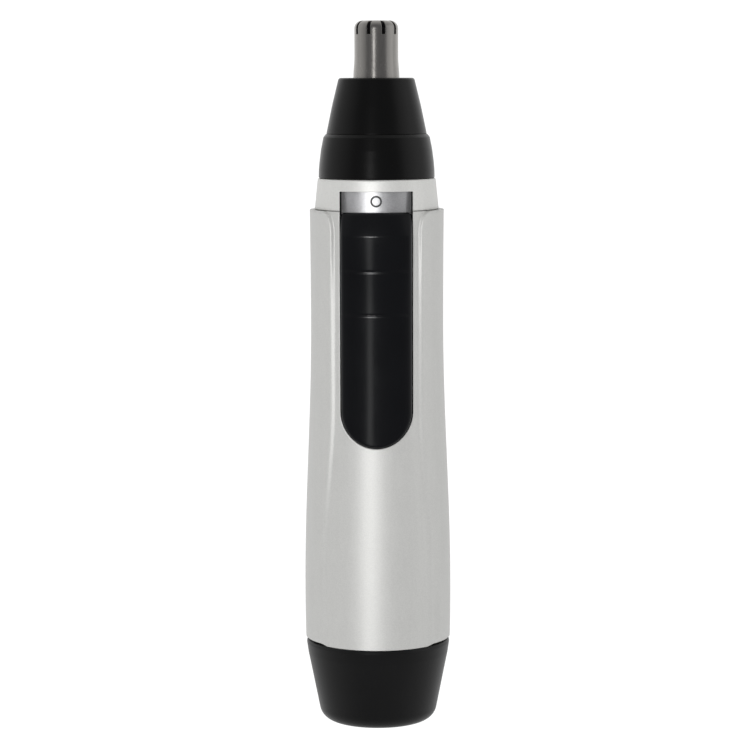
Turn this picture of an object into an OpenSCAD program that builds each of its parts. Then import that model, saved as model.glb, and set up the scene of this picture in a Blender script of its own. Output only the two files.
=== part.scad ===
// Nose hair trimmer: battery cap, two-piece shell with a thumb slide, motor and rotating cutter.
// Millimetres, +Z up. The origin is the middle of the foot, and the thumb slide faces -Y.

/* [Body shell] */
// Radius over the side ribs at the hip, near the foot
hip_r = 14.08; // [13.8:0.02:17]
// Height of the hip over the foot
hip_z = 26; // [22:0.5:32]
// Radius over the side ribs at the waist
waist_r = 12.7; // [12.5:0.02:15.5]
// Distance from the waist up to the top of the shell
waist_drop = 21.2; // [12:0.2:30]
// Extra radius over the side ribs at the top of the shell
top_flare = 0.12; // [0:0.02:0.6]
// Height of the side ribs over the shell, at the top
rib_rise_top = 0.75; // [0.3:0.05:1.2]
// Height of the side ribs over the shell, at the foot
rib_rise_foot = 0.35; // [0.2:0.05:1]
// Half of the space between the side ribs, at the top
rib_x_top = 8.25; // [7.6:0.05:9.6]
// Half of the space between the side ribs, at the foot
rib_x_foot = 10.15; // [9:0.05:11.5]
// Height over the foot where the space between the ribs starts to narrow
rib_bend_z = 30; // [22:0.5:40]
// Length of that narrowing stretch
rib_bend_l = 34; // [20:0.5:45]
// Wall of the shell
shell_wall = 1.3; // [1:0.05:1.4]

/* [Battery cap] */
// Height of the cap
cap_h = 16.05; // [13:0.05:22]
// Radius of the flat foot
foot_r = 8.4; // [7:0.1:10]
// Radius of the round edge over the foot
foot_round = 3; // [1.5:0.1:4]
// How far the cap's rim stays inside the side ribs
cap_inset = 0.12; // [0.05:0.01:0.6]
// Floor of the cap
cap_floor = 2.2; // [1.6:0.1:3]
// Wall of the cap
cap_wall = 1.6; // [1.2:0.1:1.8]
// Wall of the cap's inner sleeve
sleeve_wall = 1.25; // [1:0.05:1.4]
// How far the sleeve reaches up into the shell
sleeve_reach = 7.9; // [5:0.1:10]

/* [Neck collar] */
// Height of the collar
collar_h = 5.85; // [4.8:0.05:8]
// Radius of the collar at its lower edge
collar_r_low = 11.85; // [11.7:0.05:14]
// Radius of the collar at its upper edge
collar_r_top = 11.25; // [11:0.05:13.5]
// Depth of the window in the collar
window_h = 3.65; // [3:0.05:4.2]

/* [Thumb slide] */
// Width of the slot for the thumb slide
slot_w = 13.7; // [12:0.1:15]
// Length of the slot, from its round end to the top of the shell
slot_l = 44.55; // [40:0.05:48]
// How far the thumb slide stands over the shell
slide_rise = 0.55; // [0.2:0.05:1]
// Height of the thumb ridge
bump_rise = 0.75; // [0.3:0.05:1]
// Length of the rise up to the ridge
rise_l = 14; // [8:0.5:20]
// Length of the ramp from the ridge to the top edge
ramp_l = 4.4; // [3:0.1:7]
// How far that ramp falls
ramp_drop = 1.7; // [1:0.05:1.9]
// How the ramp bends: 1 is straight
ramp_curve = 1.1; // [1:0.05:2]
// Travel of the thumb slide
slide_travel = 3.7; // [3:0.1:4]
// Thickness of the track plate behind the slide
track_t = 0.85; // [0.7:0.05:1]

/* [Cutter head] */
// Height of the lower ring
ring_h = 8.3; // [6.5:0.1:11]
// Radius of the ring at its lower edge
ring_r_low = 11.08; // [10.9:0.02:13]
// Radius of the ring under its bevel
ring_r_top = 10.15; // [10:0.05:12]
// Height of the cone
cone_h = 10.6; // [8.5:0.1:14]
// Radius of the cone at its lower edge
cone_r_low = 9.6; // [9.3:0.05:11]
// Radius of the cone at its upper edge
cone_r_top = 7.3; // [6.8:0.05:9]
// Radius of the slotted tip
tip_r = 4.18; // [3.5:0.02:4.6]
// How far the tip stands over the cone
tip_h = 10.8; // [8:0.1:14]
// Wall of the tip
tip_wall = 0.35; // [0.3:0.01:0.5]
// Radius of the tip's round shoulder
tip_round = 1.5; // [0.8:0.05:2]
// Number of slots in the tip
tip_slots = 9; // [6:1:12]
// Width of a slot
tip_slot_w = 0.7; // [0.4:0.05:0.9]
// Depth of the slots from the top
tip_slot_h = 2.6; // [1.8:0.1:3.2]

/* [Battery and motor] */
// Radius of the AA cell
cell_r = 7.1; // [5.5:0.05:7.6]
// Length of the AA cell over its nub
cell_l = 50.5; // [42:0.1:62]
// Length of the battery spring when the cap is on
cell_spring_l = 6; // [4:0.1:8]
// Radius of the motor can
motor_r = 7.7; // [6.5:0.05:9.3]
// Width of the motor over its flats
motor_flats = 12; // [10:0.1:13]
// Length of the motor can
motor_l = 20; // [17:0.1:25]
// Radius of the motor shaft
shaft_r = 0.75; // [0.5:0.05:1]
// Radius of the cutter spindle
spindle_r = 1.5; // [1.2:0.05:1.8]
// Axial float of the cutter on its thrust spring
cutter_float = 0.5; // [0.2:0.05:0.8]
// Radius of the neck spigot that the head sits on
spigot_r = 8.5; // [8:0.05:9]
// Height of the neck spigot over the collar
spigot_h = 5.3; // [4.5:0.05:6.5]

/* [Fits] */
// Open line between neighbouring outer pieces
seam = 0.1; // [0.05:0.01:0.25]
// Clearance of pieces that slide past each other
slide_fit = 0.15; // [0.08:0.01:0.25]
// Radial clearance of a running shaft
run_fit = 0.05; // [0.01:0.01:0.1]
// Radius of the seal rings' section
seal_r = 0.5; // [0.4:0.05:0.6]

/* [Hidden] */
$fn = 96;
far = 200;
steps = 14;

// Metal strips, small walls and lips
strip_t = 0.25;
contact_t = 0.3;
frame_wall = 1.2;
cell_fit = 0.25;
guide_h = 6.9;

// The stack along the axis, from the foot up
shell_z0 = cap_h + seam;
cell_z0 = cap_floor + contact_t + cell_spring_l;
cell_z1 = cell_z0 + cell_l;
partition_z0 = cell_z1 + 2 * contact_t;
partition_z1 = partition_z0 + frame_wall;
bell_h = 2.6;
bell_z0 = partition_z1 + 1.4;
can_z0 = bell_z0 + bell_h;
can_z1 = can_z0 + motor_l;
can_wall = 0.8;
boss_r = 2.9;
boss_z1 = can_z1 + 1.2;
coupling_z0 = boss_z1 + 0.8;
post_z0 = coupling_z0 + 2.6;
cup_z0 = post_z0 + 3.6;
post_z1 = cup_z0 + 4;
cup_roof = 1.6;
cup_z1 = post_z1 + cutter_float + slide_fit + cup_roof;
shell_z1 = post_z1 + 2.25;
slot_z0 = shell_z1 - slot_l;
track_z0 = slot_z0 - 1.7;
collar_z0 = shell_z1 + seam;
collar_z1 = collar_z0 + collar_h;
ring_z0 = collar_z1 + seam;
ring_z1 = ring_z0 + ring_h;
ring_bevel = 0.3;
cone_z0 = ring_z1;
cone_z1 = cone_z0 + cone_h;
tip_z1 = cone_z1 + tip_h;

// Radii of the round inner pieces
tube_r = cell_r + cell_fit;
tube_r_out = tube_r + frame_wall;
strip_x = 1.5;
strip_y = sqrt(pow(tube_r_out, 2) - pow(strip_x, 2)) - 0.01;
sleeve_r = tube_r_out + strip_t + 2 * slide_fit;
sleeve_r_out = sleeve_r + sleeve_wall;
sleeve_z1 = shell_z0 + sleeve_reach;
guide_r = sleeve_r_out + cell_fit;
cap_seal_at = guide_r - run_fit - seal_r;
cap_seal_z = shell_z0 + 2.9;
core_r_waist = waist_r - rib_rise_top;
collar_lip = 0.6;
collar_r_out = max(collar_r_top, core_r_waist - shell_wall + collar_lip);
collar_r_foot = max(collar_r_low, collar_r_out + collar_lip);
track_r = min(core_r_waist, core_r(track_z0)) - shell_wall - seam;
track_r_in = track_r - track_t;
spigot_wall = 1.5;
spigot_z0 = collar_z0 - 5.3;
spigot_z1 = collar_z1 + spigot_h;
cradle_r = motor_r + 0.1;
cradle_r_out = min(cradle_r + frame_wall, track_r_in - slide_fit);
head_bore_r = spigot_r + 0.1;
head_seal_at = spigot_r + run_fit + seal_r;
head_seal_z = ring_z0 + 2.2;
skirt_z0 = spigot_z1 + 0.5;
blade_bore_r = tip_r - tip_wall;
flange_r = min(6, cone_r_top - 1.2);
flange_t = 0.8;
flange_z1 = cone_z1 - 2.4;

// The thumb slide and the switch behind it
button_w = slot_w - 2 * slide_fit;
button_z0 = slot_z0 + slide_fit;
button_z1 = shell_z1 - slide_fit;
button_r_in = track_r + 0.25;
track_z1 = collar_z1 - frame_wall - seam;
track_x = slot_w / 2 + 0.55;
symbol_rise = 0.1;
slider_x = 3.2;
slider_l = 10;
slider_z0 = can_z0 + 3.2;
slider_y = sqrt(pow(track_r_in, 2) - pow(slider_x, 2)) - 0.1;
leg_x = 1.2;
leg_z0 = slider_z0 + 2;
leg_l = 6;
base_y = motor_flats / 2 + 0.1;
base_t = 0.8;
contact_y = base_y + base_t + contact_t;
wiper_y = contact_y + slide_fit;
wiper_t = 0.25;
bump_y = 0.35;
slider_y_in = wiper_y + bump_y + wiper_t;

// Outline of the body over the side ribs, at height z
function rib_r(z) =
  let (waist_z = shell_z1 - waist_drop)
  let (t = (z - hip_z) / (waist_z - hip_z))
  let (u = (z - waist_z) / waist_drop)
  z < waist_z ? waist_r + (hip_r - waist_r) * (1 + cos(180 * t)) / 2 : waist_r + top_flare * u * u;

// Height of the ribs over the shell between them, at height z
function rib_rise(z) =
  rib_rise_foot + (rib_rise_top - rib_rise_foot) * (z - shell_z0) / (shell_z1 - shell_z0);
function core_r(z) = rib_r(z) - rib_rise(z);
function inner_r(z) = core_r(z) - shell_wall;

// Half of the space between the ribs, at height z
function rib_x(z) =
  let (t = min(1, max(0, (z - rib_bend_z) / rib_bend_l)))
  rib_x_top + (rib_x_foot - rib_x_top) * (1 + cos(180 * t)) / 2;

function heights(z0, z1, n) = [for (i = [0 : n]) z0 + (z1 - z0) * i / n];

// Outline of the thumb slide: a long rise to a ridge for the thumb, then a short ramp to its top edge
function slide_bump(z) =
  let (ridge_z = button_z1 - ramp_l)
  let (t = z < ridge_z ? max(0, 1 - (ridge_z - z) / rise_l) : (z - ridge_z) / ramp_l)
  z < ridge_z ? bump_rise * t * t * (3 - 2 * t) : bump_rise - ramp_drop * pow(t, ramp_curve);
function button_r(z) = core_r(z) + slide_rise + slide_bump(z);

// Points of an arc round [x, z], from one angle to another
function arc(x, z, r, a0, a1, n) =
  [for (i = [0 : n]) let (a = a0 + (a1 - a0) * i / n) [x + r * cos(a), z + r * sin(a)]];

// A solid turned from the outline [radius, height]
module turned(points) {
  rotate_extrude() polygon(points);
}

module tube(r_out, r_in, z0, z1) {
  turned([[r_in, z0], [r_out, z0], [r_out, z1], [r_in, z1]]);
}

module disc(r, z0, z1) {
  translate([0, 0, z0]) cylinder(r = r, h = z1 - z0);
}

// A bar from corner to corner
module bar(low, high) {
  translate(low) cube(high - low);
}

// A plane shape in x and z, reaching from y0 to y1
module facing(y0, y1) {
  translate([0, y1, 0]) rotate([90, 0, 0]) linear_extrude(y1 - y0) children();
}

module ring_section(at, z, r) {
  rotate_extrude() translate([at, z]) circle(r);
}

// The space of one side rib, seen from the front
module rib_field() {
  z0 = shell_z0 + 0.5;
  z_round = shell_z1 - 4.25;
  facing(-far, far)
    polygon(concat(
      [for (z = heights(z0, z_round, steps)) [rib_x(z), z]],
      [[rib_x_top + 0.45, shell_z1 - 1.75], [rib_x_top + 1.45, shell_z1]],
      [[far, shell_z1], [far, z0]]
    ));
}

module shell_blank() {
  zs = heights(shell_z0, shell_z1, steps);
  difference() {
    union() {
      turned(concat([[0, shell_z0]], [for (z = zs) [core_r(z), z]], [[0, shell_z1]]));
      for (side = [0, 1])
        mirror([side, 0, 0])
          intersection() {
            turned(concat([[0, shell_z0]], [for (z = zs) [rib_r(z), z]], [[0, shell_z1]]));
            rib_field();
          }
    }
    turned(concat(
      [[0, shell_z0 - 1]],
      [[inner_r(shell_z0), shell_z0 - 1]],
      [for (z = zs) [inner_r(z), z]],
      [[inner_r(shell_z1), shell_z1 + 1], [0, shell_z1 + 1]]
    ));
  }
}

module slot_shape(w, z0, z1) {
  translate([0, z0 + w / 2]) circle(w / 2);
  translate([-w / 2, z0 + w / 2]) square([w, z1 - z0 - w / 2]);
}

module front_shell() {
  color("silver")
    difference() {
      intersection() {
        shell_blank();
        bar([-far, -far, 0], [far, -seam / 2, 2 * far]);
      }
      facing(-far, -seam) slot_shape(slot_w, slot_z0, shell_z1 + 1);
    }
}

module back_shell() {
  color("silver")
    intersection() {
      shell_blank();
      bar([-far, seam / 2, 0], [far, far, 2 * far]);
    }
}

module neck_collar() {
  color("silver")
    difference() {
      turned([
        [track_r + seam, collar_z0], [collar_r_foot, collar_z0], [collar_r_out, collar_z1],
        [spigot_r + run_fit, collar_z1], [spigot_r + run_fit, collar_z1 - frame_wall],
        [track_r + seam, collar_z1 - frame_wall]
      ]);
      bar([-slot_w / 2, -far, collar_z0 - 1], [slot_w / 2, -track_r / 2, collar_z0 + window_h]);
    }
}

// The plate behind the slide, with a raised ring for off and a raised bar for on
module switch_track() {
  ring_z = collar_z0 + window_h / 2;
  color("gainsboro")
    union() {
      difference() {
        intersection() {
          tube(track_r, track_r_in, track_z0, track_z1);
          bar([-track_x, -far, track_z0], [track_x, 0, track_z1]);
        }
        bar(
          [-leg_x - slide_fit, -far, leg_z0 - slide_fit],
          [leg_x + slide_fit, 0, leg_z0 + leg_l + slide_travel + slide_fit]
        );
      }
      intersection() {
        tube(track_r + symbol_rise, track_r - track_t / 2, track_z0, track_z1);
        facing(-far, 0)
          union() {
            difference() {
              translate([0, ring_z]) circle(1.1);
              translate([0, ring_z]) circle(0.75);
            }
            translate([-0.2, slot_z0 + 0.8]) square([0.4, 2]);
          }
      }
    }
}

module battery_tube() {
  rib_t = 1.2;
  color("dimgray")
    difference() {
      union() {
        tube(tube_r_out, tube_r, 12, partition_z0);
        tube(tube_r_out, 2, partition_z0, partition_z1);
        for (z = heights(shell_z0 + guide_h + 4, track_z0 - rib_t, 2))
          tube(inner_r(z + rib_t) - seam, tube_r_out - 0.2, z, z + rib_t);
      }
      bar([-strip_x - 0.2, strip_y, 11], [strip_x + 0.2, tube_r_out + 0.5, partition_z1 + 1]);
    }
}

// The motor's cradle, open at the front for the switch
module motor_cradle() {
  rib_t = 1.2;
  color("dimgray")
    difference() {
      union() {
        tube(cradle_r_out, cradle_r, partition_z1 + 0.5, spigot_z0);
        for (z = heights(can_z0, can_z1 + 4, 2))
          difference() {
            tube(inner_r(z) - seam - 0.05, cradle_r_out - 0.2, z, z + rib_t);
            bar([-far, -far, z - 1], [far, 2, z + rib_t + 1]);
          }
      }
      bar([-5.4, -far, bell_z0], [5.4, 0.3, can_z1 + 1]);
    }
}

module neck_spigot() {
  color("dimgray")
    union() {
      tube(spigot_r, spigot_r - spigot_wall, spigot_z0, spigot_z1);
      tube(cradle_r_out, spigot_r - 0.2, spigot_z0, spigot_z0 + 1);
    }
}

module spindle_bearing() {
  z1 = spigot_z1 - 1.1;
  color("white") tube(spigot_r - spigot_wall, spindle_r + run_fit, z1 - 1.8, z1);
}

// The ring in the shell's foot that the battery cap seals against
module guide_ring() {
  z0 = shell_z0 + 0.5;
  r_out = min(inner_r(z0), inner_r(z0 + guide_h)) - seam;
  color("dimgray") tube(r_out, guide_r, z0, z0 + guide_h);
}

module battery_cell() {
  nub_h = 1.2;
  color("darkgoldenrod")
    turned([
      [0, cell_z0], [cell_r - 0.7, cell_z0], [cell_r, cell_z0 + 0.6], [cell_r, cell_z1 - nub_h - 0.6],
      [cell_r - 0.6, cell_z1 - nub_h], [2.75, cell_z1 - nub_h], [2.6, cell_z1], [0, cell_z1]
    ]);
}

module positive_contact() {
  color("gold")
    union() {
      disc(4, cell_z1, cell_z1 + contact_t);
      bar([-1, -contact_t, cell_z1 + contact_t / 2], [1, contact_t, partition_z1 + 0.6]);
    }
}

// The strip from the cap's sleeve up the tube and over its end to the motor
module negative_strip() {
  color("gold")
    union() {
      intersection() {
        tube(tube_r_out + strip_t, tube_r_out, 13, partition_z1 + strip_t);
        bar([-strip_x, 0, 0], [strip_x, far, 2 * far]);
      }
      bar([-strip_x, 5, partition_z1], [strip_x, tube_r_out, partition_z1 + strip_t]);
    }
}

// A round bar with two flats across y
module flatted(r, flats, z0, z1) {
  intersection() {
    disc(r, z0, z1);
    bar([-far, -flats / 2, 0], [far, flats / 2, 2 * far]);
  }
}

module motor_can() {
  color("lightsteelblue")
    difference() {
      union() {
        flatted(motor_r, motor_flats, can_z0, can_z1);
        disc(boss_r, can_z1 - 0.1, boss_z1);
      }
      flatted(motor_r - can_wall, motor_flats - 2 * can_wall, can_z0 - 1, can_z1 - can_wall);
      disc(boss_r - can_wall, can_z1 - 2, boss_z1 + 1);
    }
}

module motor_bell() {
  color("white")
    difference() {
      flatted(motor_r - 0.1, motor_flats - 0.2, bell_z0, can_z0);
      disc(shaft_r + run_fit, bell_z0 + 0.3, can_z0 + 1);
      disc(3.2, bell_z0 + 1.4, can_z0 + 1);
    }
}

module motor_magnets() {
  magnet_r = motor_r - can_wall - 0.05;
  color("dimgray")
    difference() {
      intersection() {
        tube(magnet_r, magnet_r - 1.6, can_z0 + 3, can_z1 - 3);
        bar([-far, -motor_flats / 2 + 1.6, 0], [far, motor_flats / 2 - 1.6, 2 * far]);
      }
      bar([-3, -far, 0], [3, far, 2 * far]);
    }
}

module motor_bush() {
  color("goldenrod") tube(boss_r - can_wall, shaft_r + run_fit, can_z1 - can_wall, boss_z1);
}

module motor_terminals() {
  color("gold")
    for (side = [-1, 1])
      translate([side * 3.6, 3.2, 0]) bar([-0.8, -0.15, partition_z1 + 0.4], [0.8, 0.15, bell_z0]);
}

module switch_base() {
  color("darkolivegreen") bar([-4, -base_y - base_t, can_z0 + 0.2], [4, -base_y, can_z1 - 0.4]);
}

// Two fixed strips: the wiper always touches the lower one, and reaches the upper one when on
module switch_contacts() {
  y0 = -contact_y;
  y1 = -base_y - base_t;
  color("gold")
    union() {
      bar([-1.5, y0, can_z0 + 1], [1.5, y1, slider_z0 + 8.2]);
      bar([-1.5, y0, slider_z0 + 9.6], [1.5, y1, can_z1 - 1]);
    }
}

module motor_shaft() {
  color("silver") disc(shaft_r, bell_z0 + 0.4, post_z0 - 0.4);
}

module commutator() {
  color("peru")
    difference() {
      tube(1.8, shaft_r, bell_z0 + 1.6, can_z0 + 1.6);
      for (a = [0 : 120 : 240])
        rotate([0, 0, a]) bar([1.2, -0.12, 0], [far, 0.12, 2 * far]);
    }
}

rotor_r = min(motor_r - 2.1, motor_flats / 2 - 0.35) - can_wall;
rotor_z0 = can_z0 + 4.4;
rotor_z1 = can_z1 - 4.4;

// A three-pole armature
module rotor_core() {
  color("slategray")
    difference() {
      union() {
        disc(1.7, rotor_z0, rotor_z1);
        for (a = [0 : 120 : 240])
          rotate([0, 0, a])
            union() {
              bar([0.9, -0.6, rotor_z0], [rotor_r - 0.5, 0.6, rotor_z1]);
              intersection() {
                tube(rotor_r, rotor_r - 0.9, rotor_z0, rotor_z1);
                bar([0, -rotor_r * 0.62, rotor_z0 - 1], [far, rotor_r * 0.62, rotor_z1 + 1]);
              }
            }
      }
      disc(shaft_r, 0, 2 * far);
    }
}

module rotor_windings() {
  color("chocolate")
    for (a = [0 : 120 : 240])
      rotate([0, 0, a])
        difference() {
          bar([1.75, -1.35, rotor_z0 - 0.9], [rotor_r - 1.3, 1.35, rotor_z1 + 0.9]);
          bar([0, -0.6, rotor_z0], [far, 0.6, rotor_z1]);
        }
}

post_x = 1.2;

// The square post that turns the spindle and lets it float
module drive_coupling() {
  color("white")
    difference() {
      union() {
        disc(boss_r, coupling_z0, post_z0);
        bar([-post_x, -post_x, post_z0 - 0.1], [post_x, post_x, post_z1]);
      }
      disc(shaft_r, coupling_z0 - 1, post_z0 - 0.3);
    }
}

module thrust_spring() {
  color("silver") tube(2.6, 2.1, post_z0, cup_z0);
}

module spindle() {
  hole_x = post_x + 0.08;
  color("white")
    difference() {
      union() {
        disc(3, cup_z0, cup_z1);
        disc(spindle_r, cup_z1 - 0.5, tip_z1 - 4);
      }
      bar([-hole_x, -hole_x, cup_z0 - 1], [hole_x, hole_x, cup_z1 - cup_roof]);
    }
}

// Outline of the inner cutter, which runs just inside the slotted tip
module inner_blade() {
  r = blade_bore_r - run_fit;
  roof_z = tip_z1 - tip_wall - run_fit;
  z0 = tip_z1 - tip_slot_h - 3;
  vane = 0.5;
  color("silver")
    difference() {
      intersection() {
        turned([
          [0, z0], [r, z0], [r, roof_z - tip_round + 0.3], [r - 0.3, roof_z - 0.7],
          [r - tip_round + 0.3, roof_z], [0, roof_z]
        ]);
        union() {
          disc(far, z0, z0 + 1.4);
          disc(spindle_r + 0.6, z0, roof_z - 0.8);
          for (a = [0 : 60 : 120])
            rotate([0, 0, a]) bar([-far, -vane / 2, z0], [far, vane / 2, roof_z + 1]);
        }
      }
      disc(spindle_r, z0 - 1, tip_z1 - 4);
    }
}

module head_seal() {
  color("black") ring_section(head_seal_at, head_seal_z, seal_r);
}

module head_ring() {
  groove_h = 2 * seal_r + 0.1;
  groove_r = head_seal_at + seal_r + 0.05;
  color("black")
    turned([
      [head_bore_r, ring_z0], [ring_r_low, ring_z0], [ring_r_low - 0.17, ring_z0 + ring_h * 0.36],
      [ring_r_low - 0.46, ring_z0 + ring_h * 0.64], [ring_r_top, ring_z1 - 2 * ring_bevel],
      [cone_r_low + 0.1, ring_z1], [head_bore_r, ring_z1],
      [head_bore_r, head_seal_z + groove_h / 2], [groove_r, head_seal_z + groove_h / 2],
      [groove_r, head_seal_z - groove_h / 2], [head_bore_r, head_seal_z - groove_h / 2]
    ]);
}

module nozzle_cone() {
  edge = 0.6;
  skirt_r = head_bore_r - 0.05;
  hole_r = tip_r + 0.32;
  color("black")
    turned([
      [skirt_r - 1.2, skirt_z0], [skirt_r, skirt_z0], [skirt_r, cone_z0], [cone_r_low, cone_z0],
      [cone_r_top, cone_z1 - edge], [cone_r_top - edge, cone_z1], [hole_r, cone_z1],
      [hole_r, flange_z1], [flange_r + 0.05, flange_z1], [flange_r + 0.05, flange_z1 - flange_t],
      [skirt_r - 1.2, cone_z0 + 1]
    ]);
}

// The slotted steel tip, with a flange that holds it in the cone
module outer_blade() {
  z_round = tip_z1 - tip_round;
  x_round = tip_r - tip_round;
  color("lightgray")
    difference() {
      turned(concat(
        [
          [blade_bore_r, flange_z1 - flange_t], [flange_r, flange_z1 - flange_t], [flange_r, flange_z1],
          [tip_r + 0.27, flange_z1], [tip_r + 0.22, cone_z1], [tip_r + 0.1, cone_z1 + 2.8],
          [tip_r, cone_z1 + 4]
        ],
        arc(x_round, z_round, tip_round, 0, 90, 7),
        [[0, tip_z1], [0, tip_z1 - tip_wall]],
        arc(x_round, z_round, tip_round - tip_wall, 90, 0, 7)
      ));
      for (i = [0 : tip_slots - 1])
        rotate([0, 0, -90 + (i + 0.5) * 360 / tip_slots])
          bar([1.6, -tip_slot_w / 2, tip_z1 - tip_slot_h], [tip_r + 1, tip_slot_w / 2, tip_z1 + 1]);
    }
}

module cap_seal() {
  color("darkred") ring_section(cap_seal_at, cap_seal_z, seal_r);
}

// Half an outline: round foot, straight flank and a rim just inside the ribs
module cap_section() {
  rim_r = rib_r(shell_z0) - cap_inset;
  flank_r = foot_r + foot_round;
  difference() {
    union() {
      polygon([
        [0, 0], [foot_r, 0], [foot_r, foot_round], [flank_r, foot_round],
        [rim_r - 0.3, cap_h - 2.65], [rim_r, cap_h - 0.5], [rim_r - 0.15, cap_h], [0, cap_h]
      ]);
      intersection() {
        translate([foot_r, foot_round]) circle(foot_round);
        translate([foot_r - 0.1, 0]) square([2 * foot_round, foot_round + 0.1]);
      }
      square([sleeve_r_out, sleeve_z1]);
    }
    translate([-1, cap_floor]) square([sleeve_r + 1, far]);
    polygon([
      [sleeve_r_out, cap_floor + 3.8], [rim_r - cap_wall, cap_h + 1], [sleeve_r_out, cap_h + 1]
    ]);
    translate([cap_seal_at - seal_r - 0.05, cap_seal_z - seal_r - 0.05])
      square([far, 2 * seal_r + 0.1]);
  }
}

module battery_cap() {
  color("black") rotate_extrude() cap_section();
}

module cap_contact() {
  color("gold")
    union() {
      disc(sleeve_r - 0.05, cap_floor, cap_floor + contact_t);
      intersection() {
        tube(sleeve_r - 0.02, sleeve_r - 0.14, cap_floor, sleeve_z1 - 2);
        bar([-1.2, 0, 0], [1.2, far, far]);
      }
    }
}

// The space that the battery spring's turns fill: a cone that narrows toward the cell
module battery_spring() {
  wire = 0.7;
  z0 = cap_floor + contact_t;
  color("silver")
    turned([[6 - wire, z0], [6, z0], [4, cell_z0], [4 - wire, cell_z0]]);
}

// The thumb slide: a curved plate with a leg through the track
module switch_button() {
  zs = heights(button_z0, button_z1, 22);
  corner = 1;
  color("black")
    union() {
      intersection() {
        turned(concat(
          [[button_r_in, button_z0]],
          [for (z = zs) [button_r(z), z]],
          [[button_r_in, button_z1]]
        ));
        facing(-far, -1)
          union() {
            slot_shape(button_w, button_z0, button_z1 - corner);
            translate([-button_w / 2 + corner, button_z0 + button_w / 2])
              square([button_w - 2 * corner, button_z1 - button_z0 - button_w / 2]);
            for (side = [-1, 1])
              translate([side * (button_w / 2 - corner), button_z1 - corner]) circle(corner);
          }
      }
      bar([-leg_x, -button_r_in - 0.4, leg_z0], [leg_x, -slider_y_in, leg_z0 + leg_l]);
    }
}

module switch_slider() {
  color("ivory")
    difference() {
      bar([-slider_x, -slider_y, slider_z0], [slider_x, -slider_y_in, slider_z0 + slider_l]);
      bar([-leg_x, -far, leg_z0], [leg_x, 0, leg_z0 + leg_l]);
    }
}

module switch_wiper() {
  color("gold")
    union() {
      bar([-2, -slider_y_in, slider_z0 + 0.8], [2, -slider_y_in + wiper_t, slider_z0 + 9.2]);
      for (z = [slider_z0 + 2, slider_z0 + 7.6])
        translate([0, -slider_y_in + wiper_t, z]) rotate([0, 90, 0]) bump_bar();
    }
}

// A half-round bar that stands toward the motor
module bump_bar() {
  intersection() {
    cylinder(r = bump_y, h = 2.4, center = true);
    bar([-bump_y, -0.1, -2], [bump_y, bump_y, 2]);
  }
}

front_shell();
back_shell();
neck_collar();
switch_track();
battery_tube();
motor_cradle();
neck_spigot();
spindle_bearing();
guide_ring();
battery_cell();
positive_contact();
negative_strip();
motor_can();
motor_bell();
motor_magnets();
motor_bush();
motor_terminals();
switch_base();
switch_contacts();
motor_shaft();
commutator();
rotor_core();
rotor_windings();
drive_coupling();
thrust_spring();
spindle();
inner_blade();
head_seal();
head_ring();
nozzle_cone();
outer_blade();
cap_seal();
battery_cap();
cap_contact();
battery_spring();
switch_button();
switch_slider();
switch_wiper();
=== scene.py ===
from math import acos, asin, cos, exp, hypot, inf, pi, radians, sin, sqrt, tan

import bmesh
import bpy
from mathutils import Matrix, Vector


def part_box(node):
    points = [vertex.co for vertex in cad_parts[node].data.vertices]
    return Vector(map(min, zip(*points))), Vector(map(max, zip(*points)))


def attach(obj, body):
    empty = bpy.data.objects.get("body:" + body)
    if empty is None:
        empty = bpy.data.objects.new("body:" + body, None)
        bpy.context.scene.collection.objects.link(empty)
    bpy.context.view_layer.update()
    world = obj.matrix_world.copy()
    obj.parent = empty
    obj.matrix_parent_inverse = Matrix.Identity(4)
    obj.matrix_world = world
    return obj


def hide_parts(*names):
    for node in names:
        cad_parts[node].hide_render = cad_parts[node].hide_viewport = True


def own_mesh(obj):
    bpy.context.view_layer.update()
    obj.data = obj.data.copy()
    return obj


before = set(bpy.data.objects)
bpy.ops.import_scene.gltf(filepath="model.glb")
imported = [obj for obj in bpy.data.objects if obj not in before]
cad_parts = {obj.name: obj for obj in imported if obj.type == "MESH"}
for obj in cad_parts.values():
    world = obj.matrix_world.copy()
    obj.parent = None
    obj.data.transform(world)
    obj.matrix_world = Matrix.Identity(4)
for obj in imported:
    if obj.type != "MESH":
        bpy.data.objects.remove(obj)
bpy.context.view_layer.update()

MM = 0.001

# ------------------------------------------------ sizes, in millimetres, from the frame


def span(node):
    """The lowest and highest corner of a CAD node, in millimetres."""
    low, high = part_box(node)
    return low / MM, high / MM


SHELL_Z0, SHELL_Z1 = span("front_shell")[0].z, span("front_shell")[1].z
HIP_R = span("back_shell")[1].x
HIP_Z = 26.0
WAIST_R = 12.7
WAIST_DROP = 21.2
TOP_FLARE = 0.12
RIB_RISE_TOP, RIB_RISE_FOOT = 0.75, 0.35
RIB_X_TOP, RIB_X_FOOT = 8.25, 10.15
RIB_BEND_Z, RIB_BEND_L = 30.0, 34.0
RIB_CORNER_H, RIB_CORNER_W = 4.25, 1.5
RIB_SOFT_TOP, RIB_SOFT_LOW, RIB_SOFT_L = 1.1, 1.5, 20.0
SHELL_WALL = 1.3
PARTING = 0.1

BUTTON_LOW, BUTTON_HIGH = span("switch_button")
BUTTON_W = BUTTON_HIGH.x - BUTTON_LOW.x
BUTTON_Z0, BUTTON_Z1 = BUTTON_LOW.z, BUTTON_HIGH.z
SLIDE_FIT = 0.15
SLOT_HALF = BUTTON_W / 2 + SLIDE_FIT
SLOT_Z0 = BUTTON_Z0 - SLIDE_FIT
SLOT_MID = SLOT_Z0 + SLOT_HALF
TRACK_R = -span("switch_track")[0].y - 0.1
CAP_RIM_R = span("battery_cap")[1].x
TIP_Z1 = span("outer_blade")[1].z
TIP_R = 4.18
CONE_Z1 = span("nozzle_cone")[1].z


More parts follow.
